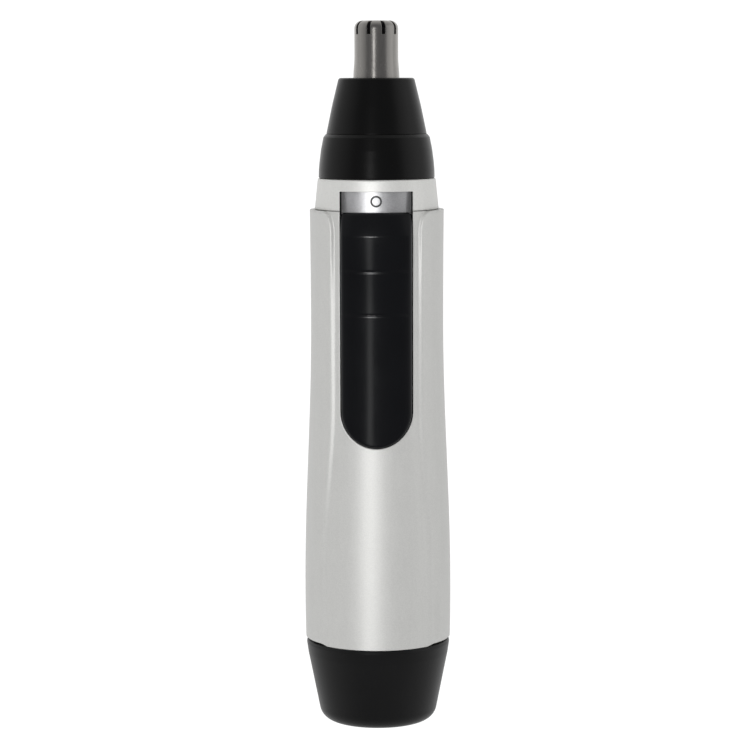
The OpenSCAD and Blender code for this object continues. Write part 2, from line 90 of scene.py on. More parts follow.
def smooth(t):
    """0 below 0, 1 above 1, and an even S between."""
    t = min(1.0, max(0.0, t))
    return t * t * (3 - 2 * t)


def rib_r(z):
    """Radius of the body over its side ribs at height z."""
    waist_z = SHELL_Z1 - WAIST_DROP
    if z < waist_z:
        return WAIST_R + (HIP_R - WAIST_R) * (1 + cos(pi * (z - HIP_Z) / (waist_z - HIP_Z))) / 2
    return WAIST_R + TOP_FLARE * ((z - waist_z) / WAIST_DROP) ** 2


def rib_rise(z):
    """How far the side ribs stand over the body at height z."""
    return RIB_RISE_FOOT + (RIB_RISE_TOP - RIB_RISE_FOOT) * (z - SHELL_Z0) / (SHELL_Z1 - SHELL_Z0)


def core_r(z):
    """Radius of the body between its side ribs at height z."""
    return rib_r(z) - rib_rise(z)


def rib_x(z):
    """Half of the space between the ribs at height z, with its round corner at the top."""
    t = min(1.0, max(0.0, (z - RIB_BEND_Z) / RIB_BEND_L))
    edge = RIB_X_TOP + (RIB_X_FOOT - RIB_X_TOP) * (1 + cos(pi * t)) / 2
    u = min(1.0, max(0.0, 1 - (SHELL_Z1 - z) / RIB_CORNER_H))
    return edge + RIB_CORNER_W * (1 - sqrt(1 - u * u))


def rib_soft(z):
    """Width of the soft step up to a rib at height z."""
    return RIB_SOFT_TOP + (RIB_SOFT_LOW - RIB_SOFT_TOP) * smooth((SHELL_Z1 - z) / RIB_SOFT_L)


def rib_step(x, z):
    """0 between the ribs, 1 on a rib."""
    return smooth((abs(x) - rib_x(z)) / rib_soft(z) + 0.5)


def body_r(x, z):
    """Radius of the shell's outside at x and height z: the body, and the soft step up to a rib."""
    return core_r(z) + rib_rise(z) * rib_step(x, z)


# ------------------------------------------------ materials


class Flow:
    """One socket of a material, on which sums are written as they are on numbers."""

    def __init__(self, owner, socket):
        self.owner = owner
        self.socket = socket

    def _math(self, operation, a, b=None):
        values = {0: a} if b is None else {0: a, 1: b}
        return self.owner.node("ShaderNodeMath", {"operation": operation}, values)

    def __add__(self, other):
        return self._math("ADD", self, other)

    def __radd__(self, other):
        return self._math("ADD", other, self)

    def __sub__(self, other):
        return self._math("SUBTRACT", self, other)

    def __rsub__(self, other):
        return self._math("SUBTRACT", other, self)

    def __mul__(self, other):
        return self._math("MULTIPLY", self, other)

    def __rmul__(self, other):
        return self._math("MULTIPLY", other, self)

    def __truediv__(self, other):
        return self._math("DIVIDE", self, other)

    def clamped(self, low, high):
        """low below 0, high above 1, and a line between."""
        values = {"Value": self, "To Min": low, "To Max": high}
        return self.owner.node("ShaderNodeMapRange", {"clamp": True}, values)

    def band(self, low, high):
        """0 below low and 1 above high."""
        values = {"Value": self, "From Min": low, "From Max": high}
        return self.owner.node("ShaderNodeMapRange", {"clamp": True}, values)


class Nodes:
    """The nodes of a material or of the surroundings, and the shader that they feed."""

    def __init__(self, tree, shader):
        self.tree = tree
        self.shader = tree.nodes[shader]

    def node(self, kind, settings, values, output=0):
        """Any node: its settings first, then the values or links of its sockets."""
        made = self.tree.nodes.new(kind)
        for key, value in settings.items():
            if key == "stops":
                self._fill(made.color_ramp.elements, value)
            else:
                setattr(made, key, value)
        for key, value in values.items():
            if isinstance(value, Flow):
                self.tree.links.new(value.socket, made.inputs[key])
            else:
                made.inputs[key].default_value = value
        return Flow(self, made.outputs[output])

    def _fill(self, stops, levels):
        """Sets a ramp's stops from pairs of position and colour, lowest first."""
        for stop, (position, color) in zip((stops[0], stops[-1]), (levels[0], levels[-1])):
            stop.position, stop.color = position, color
        for position, color in levels[1:-1]:
            stops.new(position).color = color

    def mix(self, amount, a, b):
        """From colour a to colour b."""
        return self.node(
            "ShaderNodeMix", {"data_type": "RGBA"}, {"Factor": amount, 6: a, 7: b}, 2
        )

    def feed(self, socket, value):
        """Links a value to a socket of the shader."""
        self.tree.links.new(value.socket, self.shader.inputs[socket])


class Finish(Nodes):
    """A material of one surface shader."""

    def __init__(self, name, color, roughness, metallic=0.0, **constants):
        self.material = bpy.data.materials.new(name)
        self.material.use_nodes = True
        super().__init__(self.material.node_tree, "Principled BSDF")
        self.shader.inputs["Base Color"].default_value = (*color, 1)
        self.shader.inputs["Roughness"].default_value = roughness
        self.shader.inputs["Metallic"].default_value = metallic
        for socket, value in constants.items():
            self.shader.inputs[socket.replace("_", " ")].default_value = value
        self.color = color
        self.place = self.node("ShaderNodeTexCoord", {}, {}, "Object")

    def stretched(self, x, y, z):
        """Places on the surface, scaled along each axis."""
        values = {0: self.place, 1: (x, y, z)}
        return self.node("ShaderNodeVectorMath", {"operation": "MULTIPLY"}, values, "Vector")

    def noise(self, size, detail=2.0, place=None):
        """Soft noise whose lumps are about size metres across."""
        values = {"Vector": place or self.place, "Scale": 1 / size, "Detail": detail}
        return self.node("ShaderNodeTexNoise", {}, values, "Fac")

    def grains(self, size, place=None):
        """A random value for each cell of about size metres."""
        values = {"Vector": place or self.place, "Scale": 1 / size}
        cell = self.node("ShaderNodeTexVoronoi", {}, values, "Color")
        return self.node("ShaderNodeSeparateColor", {}, {0: cell}, 0)

    def tint(self, amount, dark, light):
        """The base colour, from its share dark to its share light."""
        low = (*[c * dark for c in self.color], 1)
        high = (*[c * light for c in self.color], 1)
        self.feed("Base Color", self.mix(amount, low, high))

    def rough(self, amount, low, high):
        """The roughness, from low to high."""
        self.feed("Roughness", amount.clamped(low, high))

    def bump(self, height, depth, strength=1.0):
        """Relief of depth metres where height goes from 0 to 1."""
        values = {"Height": height, "Distance": depth, "Strength": strength}
        self.feed("Normal", self.node("ShaderNodeBump", {}, values, "Normal"))


def silver_paint(name, color, roughness, metallic, slot_shade_x, slot_shade_z, slot_shade_top):
    """Satin silver lacquer; the walls of the slot's cut and of the collar's window are painted
    near-black and non-metallic as painted shade.
    """
    f = Finish(name, color, roughness, metallic, Coat_Weight=0.08, Coat_Roughness=0.3)
    flake = f.grains(0.00013)
    cloud = f.noise(0.006, 3.0)
    drawn = f.noise(0.0011, 2.0, f.stretched(1.0, 1.0, 0.08))
    spread = flake * 0.5 + cloud * 0.25 + drawn * 0.25
    lacquer = f.mix(spread, (*[c * 0.9 for c in color], 1), (*[c * 1.1 for c in color], 1))
    x, y, z = (f.node("ShaderNodeSeparateXYZ", {}, {0: f.place}, axis) for axis in "XYZ")
    below = f.node("ShaderNodeMath", {"operation": "MINIMUM"}, {0: z - slot_shade_z, 1: 0.0})
    reach = f.node("ShaderNodeMath", {"operation": "SQRT"}, {0: x * x + below * below})
    ahead = y.band(-0.001, -0.002)
    under = z.band(slot_shade_top, slot_shade_top - 0.00004)
    # painted shade: near-black on the walls of the slot's cut and of the collar's window
    slot_shade = reach.band(slot_shade_x + 0.00006, slot_shade_x + 0.00002) * ahead * under
    f.feed("Base Color", f.mix(slot_shade, lacquer, (0.02, 0.02, 0.021, 1)))
    f.feed("Metallic", metallic - slot_shade * metallic)
    f.rough(flake * 0.5 + cloud * 0.5, roughness - 0.05, roughness + 0.07)
    f.bump(flake * 0.6 + drawn * 0.4, 0.000009, 0.6)
    return f.material


def track_paint(name, color, roughness, shade_from_x, plate_r):
    """The track's silver band: painted shade beside the band, where the gap beside the slide falls
    dark, and dark on the raised marks.
    """
    f = Finish(name, color, roughness, 0.85)
    x = f.node("ShaderNodeSeparateXYZ", {}, {0: f.place}, "X")
    side = f.node("ShaderNodeMath", {"operation": "ABSOLUTE"}, {0: x})
    flat = f.stretched(1.0, 1.0, 0.0)
    r = f.node("ShaderNodeVectorMath", {"operation": "LENGTH"}, {0: flat}, "Value")
    # painted shade beside the band, and the dark raised marks
    dark = f.node(
        "ShaderNodeMath", {"operation": "MAXIMUM"},
        {0: side.band(shade_from_x, shade_from_x + 0.0002), 1: r.band(plate_r + 0.00003, plate_r + 0.00007)},
    )
    flake = f.grains(0.00012)
    bright = f.mix(flake, (*[c * 0.9 for c in color], 1), (*[c * 1.1 for c in color], 1))
    f.feed("Base Color", f.mix(dark, bright, (0.022, 0.022, 0.023, 1)))
    f.feed("Metallic", 0.85 - dark * 0.85)
    f.rough(flake, roughness - 0.05, roughness + 0.08)
    f.bump(flake, 0.000008, 0.6)
    return f.material


def moulded(name, color, roughness, grain=0.00022, depth=0.000012, shine=0.5):
    """Moulded plastic with a fine spark-eroded grain and slightly polished patches."""
    f = Finish(name, color, roughness, 0.0, Specular_IOR_Level=shine)
    fine = f.noise(grain, 4.0)
    wear = f.noise(0.008, 3.0)
    f.tint(wear, 0.86, 1.16)
    f.rough(fine * 0.5 + wear * 0.5, roughness - 0.08, roughness + 0.1)
    f.bump(fine, depth, 0.6)
    return f.material


def piano_black(name, color):
    """High-gloss black plastic with the faint waviness and hairlines of a handled part."""
    f = Finish(name, color, 0.2, 0.0, Specular_IOR_Level=0.22)
    hair = f.noise(0.00035, 2.0, f.stretched(1.0, 1.0, 0.06))
    smear = f.noise(0.007, 3.0)
    f.tint(smear, 0.85, 1.2)
    f.rough(hair * 0.4 + smear * 0.6, 0.14, 0.28)
    f.bump(f.noise(0.004, 1.0), 0.00002, 0.5)
    return f.material


def brushed(name, color, roughness, along=(1.0, 1.0, 0.04), line=0.00012, metallic=1.0):
    """Steel with fine drawn lines along one direction and a little tarnish."""
    f = Finish(name, color, roughness, metallic)
    lines = f.noise(line, 3.0, f.stretched(*along))
    tarnish = f.noise(0.004, 3.0)
    f.tint(lines * 0.6 + tarnish * 0.4, 0.8, 1.15)
    f.rough(lines * 0.6 + tarnish * 0.4, roughness - 0.07, roughness + 0.12)
    f.bump(lines * 0.45 + f.noise(0.0006, 2.0) * 0.55, 0.000014, 0.7)
    return f.material


def strip_metal(name, color, roughness):
    """Stamped contact metal with handling marks and dull spots."""
    f = Finish(name, color, roughness, 1.0)
    spots = f.noise(0.0012, 4.0)
    f.tint(spots, 0.72, 1.1)
    f.rough(spots, roughness - 0.08, roughness + 0.16)
    f.bump(f.noise(0.0003, 2.0), 0.000005, 0.5)
    return f.material


def wound(name, color):
    """Enamelled winding wire laid in rows."""
    f = Finish(name, color, 0.28, 0.7, Coat_Weight=0.5, Coat_Roughness=0.15)
    values = {"Vector": f.place, "Scale": 1700.0, "Distortion": 0.4}
    rows = f.node("ShaderNodeTexWave", {"bands_direction": "X"}, values, "Fac")
    f.tint(rows, 0.5, 1.15)
    f.rough(rows, 0.2, 0.42)
    f.bump(rows, 0.00005, 0.9)
    return f.material


def laminated(name, color):
    """A stack of thin iron sheets, seen as rings along the axis."""
    f = Finish(name, color, 0.4, 1.0)
    values = {"Vector": f.place, "Scale": 1000.0, "Distortion": 0.0}
    sheets = f.node("ShaderNodeTexWave", {"bands_direction": "Z"}, values, "Fac")
    f.tint(sheets, 0.55, 1.1)
    f.rough(sheets, 0.3, 0.55)
    f.bump(sheets, 0.00003, 0.7)
    return f.material


def cell_jacket(name, blue, copper, split_z):
    """A plain two-tone battery jacket with a soft film gloss."""
    f = Finish(name, blue, 0.26, 0.35, Coat_Weight=0.6, Coat_Roughness=0.1)
    height = f.node("ShaderNodeSeparateXYZ", {}, {0: f.place}, "Z")
    upper = height.band(split_z, split_z + 0.00025)
    film = f.noise(0.005, 3.0)
    shade = f.mix(film * 0.35, (*blue, 1), (*[c * 0.6 for c in blue], 1))
    f.feed("Base Color", f.mix(upper, shade, (*copper, 1)))
    f.rough(film, 0.18, 0.36)
    f.bump(film, 0.00003, 0.4)
    return f.material


def rubber(name, color):
    """Seal rubber with a matte bloom."""
    f = Finish(name, color, 0.6)
    bloom = f.noise(0.0009, 4.0)
    f.tint(bloom, 0.8, 1.35)
    f.rough(bloom, 0.5, 0.75)
    f.bump(bloom, 0.00002, 0.6)
    return f.material


WINDOW_ABOVE_SHELL = 3.72
# where the slot walls' painted shade lies: the slot's half width, the middle of its round end, and
# the top of the collar's window
CUT = (SLOT_HALF * MM, SLOT_MID * MM, (SHELL_Z1 + WINDOW_ABOVE_SHELL) * MM)
# half width of the track's silver band; past it the track is painted dark as painted shade in the
# gap beside the slide
TRACK_SHADE_X = 0.0064
SILVER = silver_paint("satin silver paint", (0.575, 0.575, 0.56), 0.46, 0.38, *CUT)
# a lighter, more metallic copy of the shell's silver; its lighter tone is painted light for the
# collar
COLLAR_SILVER = silver_paint("collar silver paint", (0.71, 0.71, 0.69), 0.47, 0.48, *CUT)
TRACK_SILVER = track_paint("track plate silver", (0.61, 0.61, 0.62), 0.38, TRACK_SHADE_X, TRACK_R * MM)
GLOSS_BLACK = piano_black("gloss black slide", (0.0024, 0.0026, 0.0032))
SATIN_BLACK = moulded("satin black plastic", (0.006, 0.006, 0.0062), 0.38, shine=0.3)
NOZZLE_BLACK = moulded("nozzle black plastic", (0.0016, 0.0016, 0.0016), 0.3, 0.0003, 0.000008, 0.3)
FRAME_BLACK = moulded("inner frame plastic", (0.03, 0.03, 0.032), 0.5)
WHITE = moulded("white acetal", (0.74, 0.73, 0.70), 0.38)
IVORY = moulded("ivory slider plastic", (0.62, 0.58, 0.47), 0.42)
BOARD = moulded("switch board", (0.03, 0.10, 0.05), 0.45)
MAGNET = moulded("ferrite magnet", (0.035, 0.034, 0.036), 0.55, 0.0005, 0.00003)
TIP_STEEL = brushed("slotted tip steel", (0.43, 0.415, 0.395), 0.22)
# darker than bare steel as painted shade, so the tip's slots in front of the cutter read black
CUTTER_STEEL = brushed("cutter steel", (0.24, 0.24, 0.25), 0.32, (1.0, 1.0, 1.0), 0.0004)
CAN_STEEL = brushed("motor can steel", (0.56, 0.57, 0.58), 0.3, (1.0, 1.0, 0.2), 0.0003)
SPRING_STEEL = brushed("spring steel", (0.62, 0.62, 0.64), 0.22, (1.0, 1.0, 1.0), 0.0005)
CONTACT = strip_metal("plated contact metal", (0.74, 0.60, 0.33), 0.3)
BRONZE = strip_metal("sintered bronze", (0.42, 0.28, 0.14), 0.45)
COPPER = wound("enamelled copper", (0.50, 0.17, 0.07))
IRON = laminated("laminated iron", (0.30, 0.31, 0.33))
SEAL = rubber("black seal rubber", (0.012, 0.012, 0.012))
CAP_SEAL = rubber("red seal rubber", (0.20, 0.02, 0.014))
COPPER_BAND = 0.0135
COPPER_BAND_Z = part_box("battery_cell")[1].z - COPPER_BAND
JACKET = cell_jacket("battery jacket", (0.03, 0.09, 0.20), (0.52, 0.27, 0.10), COPPER_BAND_Z)

# ------------------------------------------------ making pieces


def on_ring(r, angle, z):
    """A point at an angle from the front, which is -Y, toward +X."""
    return Vector((r * sin(angle), -r * cos(angle), z))


def finished(name, mesh, body, material, nodes=(), edge=0.0, segments=2):
    """Closes a mesh in millimetres into a smooth piece in metres that rides on its body."""
    bmesh.ops.remove_doubles(mesh, verts=mesh.verts, dist=1e-5)
    bmesh.ops.dissolve_degenerate(mesh, edges=mesh.edges, dist=1e-6)
    bmesh.ops.recalc_face_normals(mesh, faces=mesh.faces)
    bmesh.ops.scale(mesh, vec=(MM, MM, MM), verts=mesh.verts)
    data = bpy.data.meshes.new(name)
    mesh.to_mesh(data)
    mesh.free()
    data.shade_smooth()
    piece = bpy.data.objects.new(name, data)
    bpy.context.scene.collection.objects.link(piece)
    data.materials.append(material)
    if edge:
        bevel = piece.modifiers.new("edges", "BEVEL")
        bevel.width = edge * MM
        bevel.segments = segments
        bevel.limit_method = "ANGLE"
        bevel.angle_limit = radians(50)
    piece.modifiers.new("even shading", "WEIGHTED_NORMAL").keep_sharp = False
    if nodes:
        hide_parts(*nodes)
    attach(piece, body)
    return piece


def filleted(outline, steps=5):
    """The points of a closed outline of (radius, height, fillet), its corners rounded."""
    points = []
    count = len(outline)
    for i, (r, z, fillet) in enumerate(outline):
        here = Vector((r, z))
        if not fillet:
            points.append(here)
            continue
        back = Vector(outline[i - 1][:2]) - here
        on = Vector(outline[(i + 1) % count][:2]) - here
        half = back.angle(on) / 2
        reach = min(fillet / tan(half), 0.48 * back.length, 0.48 * on.length)
        radius = reach * tan(half)
        back.normalize()
        on.normalize()
        centre = here + (back + on).normalized() * (radius / sin(half))
        start, end = here + back * reach - centre, here + on * reach - centre
        turn = start.angle_signed(end)
        for k in range(steps + 1):
            a = -turn * k / steps
            across = start.x * cos(a) - start.y * sin(a)
            along = start.x * sin(a) + start.y * cos(a)
            points.append(centre + Vector((across, along)))
    return points


def ring_mesh(points, turns):
    """A closed outline turned round the axis."""
    mesh = bmesh.new()
    rings = []
    for k in range(turns):
        a = 2 * pi * k / turns
        rings.append([mesh.verts.new(on_ring(p.x, a, p.y)) for p in points])
    for k, ring in enumerate(rings):
        beside = rings[(k + 1) % turns]
        for i in range(len(points)):
            j = (i + 1) % len(points)
            mesh.faces.new((ring[i], ring[j], beside[j], beside[i]))
    return mesh


def turned(name, outline, body, material, nodes=(), turns=160, steps=5):
    """A piece turned from a closed outline of (radius, height, fillet)."""
    return finished(name, ring_mesh(filleted(outline, steps), turns), body, material, nodes)


def walled(outer, inner, missing=lambda i, j: False, wrap=False):
    """A wall between two grids of points, open where cells are missing."""
    mesh = bmesh.new()
    out = [[mesh.verts.new(p) for p in row] for row in outer]
    back = [[mesh.verts.new(p) for p in row] for row in inner]
    rows, columns = len(outer), len(outer[0])
    cells = columns if wrap else columns - 1

    def solid(i, j):
        if wrap:
            j %= columns
        return 0 <= i < rows - 1 and 0 <= j < cells and not missing(i, j)

    for i in range(rows - 1):
        for j in range(cells):
            if not solid(i, j):
                continue
            k = (j + 1) % columns
            mesh.faces.new((out[i][j], out[i][k], out[i + 1][k], out[i + 1][j]))
            mesh.faces.new((back[i + 1][j], back[i + 1][k], back[i][k], back[i][j]))
            sides = (
                ((i - 1, j), (i, j), (i, k)),
                ((i + 1, j), (i + 1, k), (i + 1, j)),
                ((i, j - 1), (i + 1, j), (i, j)),
                ((i, j + 1), (i, k), (i + 1, k)),
            )
            for neighbour, a, b in sides:
                if not solid(*neighbour):
                    (ai, aj), (bi, bj) = a, b
                    mesh.faces.new((out[bi][bj], out[ai][aj], back[ai][aj], back[bi][bj]))
    return mesh


def coil(name, low, high, r_low, r_high, wire, turns, body, nodes):
    """A wire of radius wire wound round the axis, with a flat turn at each end."""
    mesh = bmesh.new()
    rings = []
    around, steps_a_turn, flat_turn, ease = 10, 40, 0.75, 0.35
    steps = int(turns * steps_a_turn)
    for k in range(steps + 1):
        t = k / steps
        climbed = (t * turns - flat_turn) / (turns - 2 * flat_turn)
        rise = ease * smooth(climbed) + (1 - ease) * min(1, max(0, climbed))
        a = 2 * pi * turns * t
        r = r_low + (r_high - r_low) * rise
        centre = on_ring(r, a, low + wire + (high - low - 2 * wire) * rise)
        outward = on_ring(1, a, 0)
        ring = []
        for m in range(around):
            b = 2 * pi * m / around
            offset = outward * (wire * cos(b)) + Vector((0, 0, wire * sin(b)))
            ring.append(mesh.verts.new(centre + offset))
        rings.append(ring)
    for a, b in zip(rings, rings[1:]):
        for m in range(around):
            n = (m + 1) % around
            mesh.faces.new((a[m], a[n], b[n], b[m]))
    mesh.faces.new(rings[0][::-1])
    mesh.faces.new(rings[-1])
    return finished(name, mesh, body, SPRING_STEEL, nodes)


# ------------------------------------------------ the two shells

SLOT_ROUND = 0.22
EDGE_COLUMNS = [
    (0.0, SLOT_ROUND), (0.3 * SLOT_ROUND, 0.3 * SLOT_ROUND), (SLOT_ROUND, 0.0), (0.45, 0.0)
]
EDGE_REACH = EDGE_COLUMNS[-1][0]
RIB_FOOT_LIFT, RIB_FOOT_H = 0.45, 3.0
RIB_STEP_SPAN = 0.62


def shell_rows(front):
    """The rows of a shell from its foot up: plain, then round the slot's end, then beside it."""
    meet = SLOT_Z0 - EDGE_REACH
    if not front:
        return [("plain", SHELL_Z0 + (SHELL_Z1 - SHELL_Z0) * i / 120) for i in range(121)]
    rows = [("plain", SHELL_Z0 + (meet - SHELL_Z0) * i / 56) for i in range(56)]
    rows += [("round", radians(90) * i / 26) for i in range(27)]
    rows += [("beside", SLOT_MID + (SHELL_Z1 - SLOT_MID) * i / 56) for i in range(1, 57)]
    return rows


def row_start(kind, value, out):
    """Where a row starts, out from the slot's edge or at the middle."""
    if kind == "plain":
        return 0.0, value
    if kind == "beside":
        return SLOT_HALF + out, value
    reach = SLOT_HALF + out
    return reach * sin(value), SLOT_MID - reach * cos(value)


def row_end(kind, value):
    """The height at which a row reaches the parting line."""
    if kind != "round":
        return value
    meet = SLOT_Z0 - EDGE_REACH
    return meet + (SLOT_MID - meet) * value / radians(90)


def shell_side(kind, value, side, facing):
    """One row of points, outside and inside, from the middle to the parting line."""
    outer, inner = [], []

    def add(x, z, sink, angle=None, angle_in=None):
        lift = RIB_FOOT_LIFT * rib_step(x, z) * max(0.0, 1 - (z - SHELL_Z0) / RIB_FOOT_H)
        z = z + lift
        r = body_r(x, z) - sink
        r_in = core_r(z) - SHELL_WALL
        a = asin(min(1.0, x / r)) if angle is None else angle
        b = asin(min(1.0, x / r_in)) if angle_in is None else angle_in
        for points, radius, turn in ((outer, r, a), (inner, r_in, b)):
            p = on_ring(radius, turn, z)
            points.append(Vector((side * p.x, facing * p.y, p.z)))
        return a, b

    for out, sink in EDGE_COLUMNS:
        x, z = row_start(kind, value, out)
        add(x, z, 0.0 if kind == "plain" else sink)
    x0, z0 = row_start(kind, value, EDGE_REACH)
    z1 = row_end(kind, value)
    flat, soft, rest = 8, 9, 16
    total = flat + soft + rest
    for k in range(1, flat + soft + 1):
        z = z0 + (z1 - z0) * smooth(k / total)
        start = rib_x(z) - RIB_STEP_SPAN * rib_soft(z)
        end = rib_x(z) + RIB_STEP_SPAN * rib_soft(z)
        if k <= flat:
            x = x0 + (start - x0) * k / flat
        else:
            x = start + (end - start) * (k - flat) / soft
        a, b = add(x, z, 0.0)
    for k in range(1, rest + 1):
        z = z0 + (z1 - z0) * smooth((flat + soft + k) / total)
        last, last_in = (acos(PARTING / 2 / r) for r in (rib_r(z), core_r(z) - SHELL_WALL))
        t = k / rest
        angle = a + (last - a) * t
        add(core_r(z) * sin(angle), z, 0.0, angle, b + (last_in - b) * t)
    return outer, inner


def shell(name, front):
    """One shell: a wall with the slot left open in the front one."""
    facing = 1 if front else -1
    rows = shell_rows(front)
    outer, inner = [], []
    for kind, value in rows:
        right = shell_side(kind, value, 1, facing)
        left = shell_side(kind, value, -1, facing)
        outer.append(left[0][::-1] + right[0])
        inner.append(left[1][::-1] + right[1])
    middle = len(outer[0]) // 2 - 1
    first_open = next((i for i, row in enumerate(rows) if row[0] != "plain"), len(rows))
    mesh = walled(outer, inner, lambda i, j: j == middle and i >= first_open)
    return finished(name + "_skin", mesh, "chassis", SILVER, (name,), 0.1)


PAINTED = [shell("front_shell", True), shell("back_shell", False)]

# ------------------------------------------------ the neck collar

COLLAR_Z0, COLLAR_Z1 = span("neck_collar")[0].z, span("neck_collar")[1].z
COLLAR_R_LOW = span("neck_collar")[1].x
COLLAR_R_TOP = 11.25
COLLAR_FLANGE = 1.2
WINDOW_H = 3.65
SPIGOT_R = span("neck_spigot")[1].x


def neck_collar():
    """The collar: a cone that closes inward over the shell, with a window for the track plate."""
    turn, tuck = 0.35, 0.1
    lean = (COLLAR_R_LOW - COLLAR_R_TOP) / (COLLAR_Z1 - COLLAR_Z0)
    bore = TRACK_R + PARTING
    flange_z = COLLAR_Z1 - COLLAR_FLANGE
    heights = [0, 0.12, 0.6, 1.4, 2.3, 3.1, WINDOW_H, WINDOW_H + 0.4, 4.7]
    heights += [COLLAR_Z1 - COLLAR_Z0 - turn]
    outside = [(COLLAR_R_LOW - lean * h, COLLAR_Z0 + h) for h in heights]
    outside[0] = (COLLAR_R_LOW - tuck, COLLAR_Z0)
    inside = [(bore, min(COLLAR_Z0 + h, flange_z)) for h in heights]
    for k in range(1, 5):
        a = radians(90) * k / 4
        outside.append((COLLAR_R_TOP + 0.03 - turn * (1 - cos(a)), COLLAR_Z1 - turn * (1 - sin(a))))
        inside.append((bore - 0.3 * k, flange_z))
    outside += [(SPIGOT_R + 0.8, COLLAR_Z1), (SPIGOT_R + 0.05, COLLAR_Z1)]
    inside += [(SPIGOT_R + 0.4, flange_z), (SPIGOT_R + 0.05, flange_z)]
    window_columns, other_columns = 24, 120
    columns = window_columns + other_columns
    window_top = heights.index(WINDOW_H)

    def row(points):
        grid = []
        for r, z in points:
            edge = asin(SLOT_HALF / r)
            line = [-edge + 2 * edge * k / window_columns for k in range(window_columns)]
            line += [edge + (2 * pi - 2 * edge) * k / other_columns for k in range(other_columns)]
            grid.append([on_ring(r, a, z) for a in line])
        return grid

    def in_window(i, j):
        return i < window_top and j % columns < window_columns

    mesh = walled(row(outside), row(inside), in_window, True)
    edge = 0.08
    return finished(
        "neck_collar_skin", mesh, "chassis", COLLAR_SILVER, ("neck_collar",), edge
    )


PAINTED += [neck_collar(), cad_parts["switch_track"]]

# ------------------------------------------------ the thumb slide

SLIDE_RISE = 0.55
RIDGE_RISE = 0.75
RISE_L, RAMP_L, RAMP_DROP, RAMP_CURVE = 14.0, 4.4, 1.7, 1.1
RIDGE_Z = BUTTON_Z1 - RAMP_L
GRIP_Z = (BUTTON_Z1 - 11.0, BUTTON_Z1 - 19.2)
GRIP_DEPTH, GRIP_W = 0.13, 0.2
BUTTON_ROUND = 0.5
BUTTON_CORNER = 0.9
BUTTON_R_IN = TRACK_R + 0.25
LEG_HALF, LEG_SINK = 1.2, 0.3
LEG_FOOT, LEG_TOP = 2.0, 8.0


def button_r(z):
    """Radius of the slide's outside at height z: a rise to the ridge, a ramp above, two grooves."""
    if z < RIDGE_Z:
        bump = RIDGE_RISE * smooth(1 - (RIDGE_Z - z) / RISE_L)
    else:
        bump = RIDGE_RISE - RAMP_DROP * ((z - RIDGE_Z) / RAMP_L) ** RAMP_CURVE
    grooves = sum(GRIP_DEPTH * exp(-(((z - grip) / GRIP_W) ** 2)) for grip in GRIP_Z)
    return core_r(z) + SLIDE_RISE + bump - grooves


def crowded(count):
    """Steps from -1 to 1 that crowd toward both ends."""
    return [sin(radians(90) * (-1 + 2 * k / count)) for k in range(count + 1)]


def switch_button():
    """The slide: its rounded plate, and the leg that reaches through the track."""
    half = BUTTON_W / 2
    middle_z = BUTTON_Z0 + half
    across = crowded(44)
    places = []
    for k in range(26):
        v = -cos(radians(90) * k / 26)
        places.append([
            (half * s * sqrt(1 - v * v / 2), middle_z + half * v * sqrt(1 - s * s / 2))
            for s in across
        ])
    heights = [middle_z + (BUTTON_Z1 - middle_z) * k / 60 for k in range(61)]
    for z in (*GRIP_Z, RIDGE_Z):
        heights += [z + 0.09 * k for k in range(-7, 8)]
    heights += [BUTTON_Z1 - BUTTON_CORNER * (1 - cos(radians(90) * k / 8)) for k in range(1, 8)]
    heights = sorted(heights)
    closest = 0.02
    heights = [z for z, above in zip(heights, heights[1:] + [inf]) if above - z > closest]
    for z in heights:
        u = max(0.0, 1 - (BUTTON_Z1 - z) / BUTTON_CORNER)
        places.append([(s * (half - BUTTON_CORNER * (1 - sqrt(1 - u * u))), z) for s in across])

    def depth(x, z):
        """How far the rounded edge drops at x and height z."""
        if z < middle_z:
            inset = half - hypot(x, z - middle_z)
        else:
            inset = min(half - abs(x), BUTTON_Z1 - z)
        gap = max(0.0, BUTTON_ROUND - inset)
        return BUTTON_ROUND - sqrt(max(0.0, BUTTON_ROUND**2 - gap**2))

    def on_round(r, x, z):
        return Vector((x, -sqrt(r**2 - x * x), z))

    outer = [[on_round(button_r(z) - depth(x, z), x, z) for x, z in row] for row in places]
    inner = [[on_round(BUTTON_R_IN, x, z) for x, z in row] for row in places]
    mesh = walled(outer, inner)
    low, high = span("switch_slider")
    leg = bmesh.ops.create_cube(mesh, size=1.0)["verts"]
    leg_low = Vector((-LEG_HALF, -BUTTON_R_IN - LEG_SINK, low.z + LEG_FOOT))
    leg_high = Vector((LEG_HALF, high.y, low.z + LEG_TOP))
    for vert in leg:
        corner = Vector(a * b for a, b in zip(vert.co, leg_high - leg_low))
        vert.co = (leg_low + leg_high) / 2 + corner
    return finished(
        "thumb_slide", mesh, "slide_switch", GLOSS_BLACK, ("switch_button",)
    )


SLIDE = switch_button()

# ------------------------------------------------ the head

RING_LOW, RING_HIGH = span("head_ring")
CONE_LOW, CONE_HIGH = span("nozzle_cone")
RING_R_TOP = 10.15
CONE_R_LOW, CONE_R_TOP = 9.55, 7.3
HEAD_BORE_R = SPIGOT_R + 0.1
FLANGE_R = span("outer_blade")[1].x
FLANGE_Z0 = span("outer_blade")[0].z
FLANGE_Z1 = CONE_Z1 - 2.4
SEAL_LOW, SEAL_HIGH = span("head_seal")
SEAL_DEPTH = 1.0
GROOVE_HALF = 0.55
HEAD_TURNS = 200


